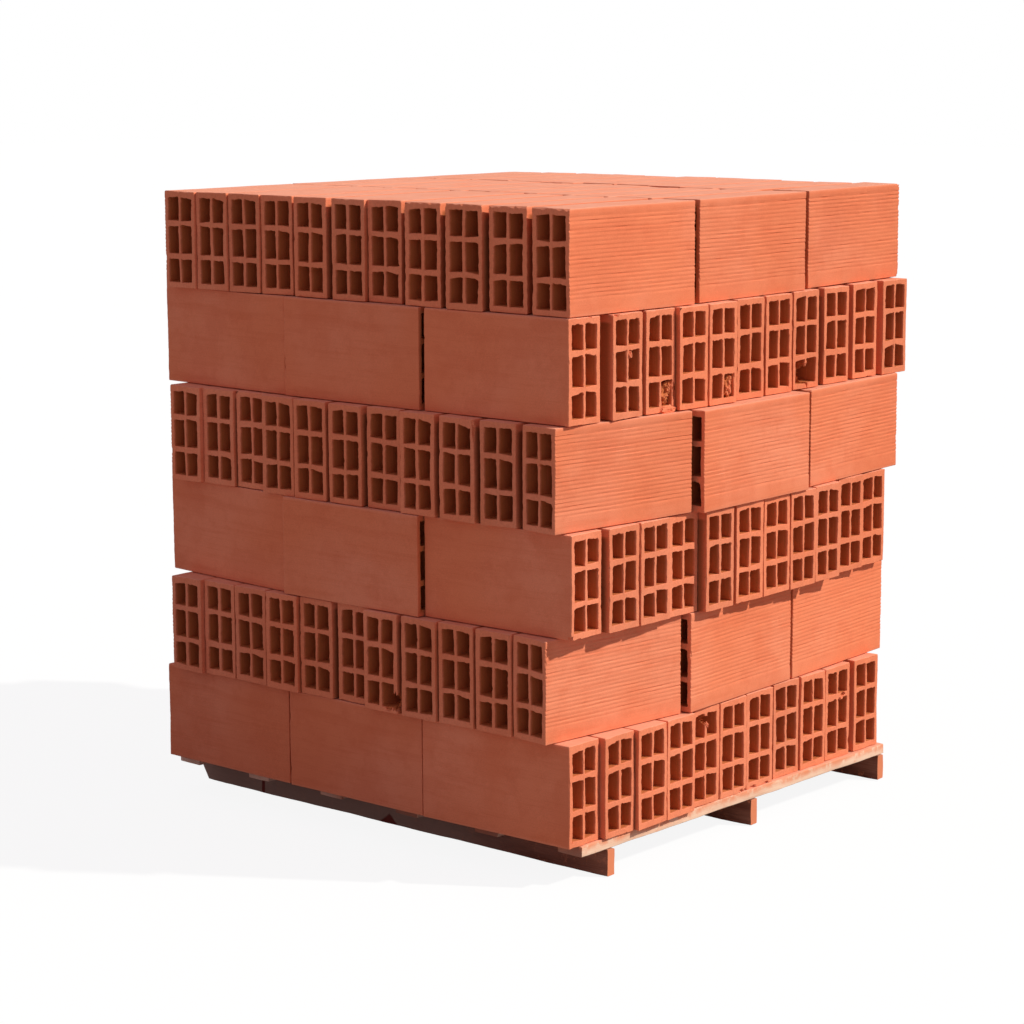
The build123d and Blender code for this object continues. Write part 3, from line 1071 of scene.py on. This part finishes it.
def plank_mesh(name, low, high, axis, rng, wane):
    """A sawn plank between two corners, its long way along an axis, its edges wandering."""
    size = high - low
    cross = [index for index in range(3) if index != axis]
    section_size = size[cross]
    section = rounded_box(*section_size, (1.6 * MM,) * 4, 6 * MM)
    count = len(section)
    run = np.arange(count) / count * 2 * math.pi
    phases = rng.uniform(0, 6, 5)
    shares = np.linspace(0, 1, 46)
    vertices = []
    for share in shares:
        at_end = share in (0, 1)
        wander = wane * 0.5 * (
            np.sin(19 * share + phases[0] + 2 * run) + 0.6 * np.sin(47 * share + phases[1] - 3 * run)
            + 0.4 * np.sin(101 * share + phases[2] + 5 * run)
        )
        ring = section * (0.97 if at_end else 1.0)
        ring = ring * (1 - (wane + wander)[:, None] / section_size)
        at = np.zeros((count, 3))
        at[:, axis] = share * size[axis]
        if at_end:
            at[:, axis] += (1 - 2 * share) * 0.4 * MM * (1 + np.sin(3 * run + phases[3]))
        at[:, cross] = ring + section_size / 2
        vertices.append(at + low)
    starts = [count * index for index in range(len(shares))]
    faces = wall_faces(starts, count)
    faces.append(list(range(count)))
    faces.append([starts[-1] + index for index in reversed(range(count))])
    mesh = bpy.data.meshes.new(name)
    mesh.from_pydata(np.concatenate(vertices).tolist(), [], faces)
    shell = bmesh.new()
    shell.from_mesh(mesh)
    bmesh.ops.recalc_face_normals(shell, faces=shell.faces)
    shell.to_mesh(mesh)
    shell.free()
    mesh.shade_smooth()
    mesh.set_sharp_from_angle(angle=TIMBER_CREASE)
    return mesh


def cut_near_runner(mesh, low, high, rng):
    """The near runner's slanted end, and the notch over the seam of its two timbers."""
    for vertex in mesh.vertices:
        near = max(0.0, 1 - (vertex.co.x - low[0]) / (SLANT_REACH * MM))
        vertex.co.x += near * (1 - (vertex.co.z - low[2]) / (high[2] - low[2])) * SLANT_DEPTH * MM
    return harmed(mesh, ((BITE, (RUNNER_SEAM, low[1] / MM, high[2] / MM), (7, 9, 6)),), rng)


def make_planks(nodes, axis, material, slot, seed):
    """A sawn plank for each CAD node of a list."""
    rng = np.random.default_rng(seed)
    wane = bpy.context.scene.timber_look.wane
    for node in nodes:
        low, high = (np.array(corner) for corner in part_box(node))
        mesh = plank_mesh(f"{node}_timber", low, high, axis, rng, wane)
        if node == "near_runner":
            mesh = cut_near_runner(mesh, low, high, rng)
        mesh.materials.append(material)
        finish_piece(link_object(f"{node}_timber", mesh), slot, node)


# The stage


def seen_ray(tree):
    """1 where the camera, a reflection or clear glass looks straight at the surface."""
    rays = add_node(tree, "ShaderNodeLightPath").outputs
    seen = larger(tree, rays["Is Camera Ray"], rays["Is Glossy Ray"])
    return larger(tree, seen, rays["Is Transmission Ray"])


def make_floor(look):
    """A white floor that keeps a pale shadow."""
    mesh = bpy.data.meshes.new("floor")
    half = FLOOR_HALF
    corners = [(-half, -half, 0), (half, -half, 0), (half, half, 0), (-half, half, 0)]
    mesh.from_pydata(corners, [], [(0, 1, 2, 3)])
    floor = link_object("floor", mesh)
    material = bpy.data.materials.new("studio_floor")
    material.use_nodes = True
    tree = material.node_tree
    tree.nodes.clear()
    rest = 1 - look.floor_glow
    glow = add_node(tree, "ShaderNodeEmission", {"Color": (1, 1, 1, 1), "Strength": look.floor_glow})
    matt = add_node(tree, "ShaderNodeBsdfDiffuse", {"Color": (rest, rest, rest, 1)})
    shown = add_node(tree, "ShaderNodeAddShader", {0: glow.outputs[0], 1: matt.outputs[0]})
    grey = (look.floor_bounce,) * 3 + (1,)
    bounce = add_node(tree, "ShaderNodeBsdfDiffuse", {"Color": grey})
    both = add_node(
        tree, "ShaderNodeMixShader", {0: seen_ray(tree), 1: bounce.outputs[0], 2: shown.outputs[0]}
    )
    add_node(tree, "ShaderNodeOutputMaterial", {"Surface": both.outputs[0]})
    mesh.materials.append(material)


def make_light(look):
    """A key light from the right and behind, and an even fill from all round."""
    lamp = bpy.data.lights.new("key", "SUN")
    lamp.energy = look.sun_strength
    lamp.angle = look.sun_width
    lamp.color = look.sun_colour
    key = bpy.data.objects.new("key", lamp)
    flat = math.cos(look.sun_elevation)
    towards = Vector((
        flat * math.cos(look.sun_azimuth), flat * math.sin(look.sun_azimuth), math.sin(look.sun_elevation)
    ))
    key.rotation_euler = towards.to_track_quat("Z", "Y").to_euler()
    key.location = towards * 5
    bpy.context.scene.collection.objects.link(key)

    world = bpy.data.worlds.new("studio")
    world.use_nodes = True
    bpy.context.scene.world = world
    tree = world.node_tree
    tree.nodes.clear()
    fill = add_node(
        tree, "ShaderNodeBackground", {"Color": (*look.sky_colour, 1), "Strength": look.sky_strength}
    )
    white = add_node(tree, "ShaderNodeBackground", {"Color": (1, 1, 1, 1), "Strength": 1.0})
    both = add_node(
        tree, "ShaderNodeMixShader", {0: seen_ray(tree), 1: fill.outputs[0], 2: white.outputs[0]}
    )
    add_node(tree, "ShaderNodeOutputWorld", {"Surface": both.outputs[0]})


def make_camera(look):
    """The camera, as far and as high as the photographer stood."""
    lens = bpy.data.cameras.new("camera")
    lens.sensor_width = 36
    lens.lens = lens.sensor_width * look.focal_share
    camera = bpy.data.objects.new("camera", lens)
    turn = Euler((math.radians(90) - look.camera_pitch, 0, look.camera_yaw)).to_matrix()
    roll = Matrix.Rotation(look.camera_roll, 3, "Z")
    camera.matrix_world = Matrix.Translation(look.camera_place) @ (turn @ roll).to_4x4()
    bpy.context.scene.collection.objects.link(camera)
    bpy.context.scene.camera = camera


# One operator for each group of like pieces, and one for the stage


class BRICKS_OT_lay_courses(Operator):
    """Lays the bricks of all courses where the frame has them"""

    bl_idname = "bricks.lay_courses"
    bl_label = "Lay Courses"

    def execute(self, context):
        sizes = context.scene.brick_sizes
        looks, numbers = make_looks(sizes)
        context.scene.collection.children.link(looks)
        clay = clay_material("fired_clay", laid=True)
        tree = laying_tree()
        nodes = [f"course_{course}_{rank}" for course in COURSES for rank in RANKS]
        nodes += [*LONE_NODES, "course_6_core"]
        for number, node in enumerate(nodes):
            lay_bricks(node, looks, numbers, clay, tree, number * BRICKS_IN_RANK)
        for look in list(looks.objects):
            bpy.data.objects.remove(look)
        bpy.data.collections.remove(looks)
        return {"FINISHED"}


class BRICKS_OT_finish_core(Operator):
    """Gives the hidden middle of each course its clay"""

    bl_idname = "bricks.finish_core"
    bl_label = "Finish Core"

    def execute(self, context):
        clay = clay_material("hidden_clay", laid=False)
        for course in COURSES[:-1]:
            node = frame["nodes"][f"course_{course}_core"]
            node.data.materials.clear()
            node.data.materials.append(clay)
        return {"FINISHED"}


class BRICKS_OT_saw_boards(Operator):
    """Makes the deck boards"""

    bl_idname = "bricks.saw_boards"
    bl_label = "Saw Boards"

    def execute(self, context):
        look = context.scene.timber_look
        wood = timber_material("deck_wood", look.pale, look.deep, is_board=True, end_share=0.1)
        make_planks(BOARDS, 1, wood, "deck_wood", BOARD_SEED)
        return {"FINISHED"}


class BRICKS_OT_saw_runners(Operator):
    """Makes the three runners"""

    bl_idname = "bricks.saw_runners"
    bl_label = "Saw Runners"

    def execute(self, context):
        look = context.scene.timber_look
        wood = timber_material(
            "runner_wood", look.runner_pale, look.runner_deep, is_board=False, end_share=0.8
        )
        make_planks(RUNNERS, 0, wood, "runner_wood", RUNNER_SEED)
        return {"FINISHED"}


class BRICKS_OT_set_stage(Operator):
    """Sets up the floor, the light and the camera"""

    bl_idname = "bricks.set_stage"
    bl_label = "Set Stage"

    def execute(self, context):
        look = context.scene.stage_look
        make_floor(look)
        make_light(look)
        make_camera(look)
        context.scene.view_settings.view_transform = "Standard"
        return {"FINISHED"}


class BRICKS_PT_sidebar(Panel):
    """The sizes, the colours and the steps of the model"""

    bl_idname = "BRICKS_PT_sidebar"
    bl_label = "Pallet of Bricks"
    bl_space_type = "VIEW_3D"
    bl_region_type = "UI"
    bl_category = "Bricks"

    def draw(self, context):
        for step in STEPS:
            self.layout.operator(step.bl_idname)
        for name, group in GROUPS.items():
            box = self.layout.box()
            for prop in group.__annotations__:
                box.prop(getattr(context.scene, name), prop)


GROUPS = {
    "brick_sizes": BrickSizes, "clay_look": ClayLook, "timber_look": TimberLook, "stage_look": StageLook,
}
STEPS = (
    BRICKS_OT_lay_courses, BRICKS_OT_finish_core, BRICKS_OT_saw_boards, BRICKS_OT_saw_runners,
    BRICKS_OT_set_stage,
)


def register():
    for group in (*GROUPS.values(), *STEPS, BRICKS_PT_sidebar):
        bpy.utils.register_class(group)
    for name, group in GROUPS.items():
        setattr(bpy.types.Scene, name, PointerProperty(type=group))


def unregister():
    for name in GROUPS:
        delattr(bpy.types.Scene, name)
    for group in reversed((*GROUPS.values(), *STEPS, BRICKS_PT_sidebar)):
        bpy.utils.unregister_class(group)


def main():
    register()
    for step in STEPS:
        family, action = step.bl_idname.split(".")
        getattr(getattr(bpy.ops, family), action)()


if __name__ == "__main__":
    main()
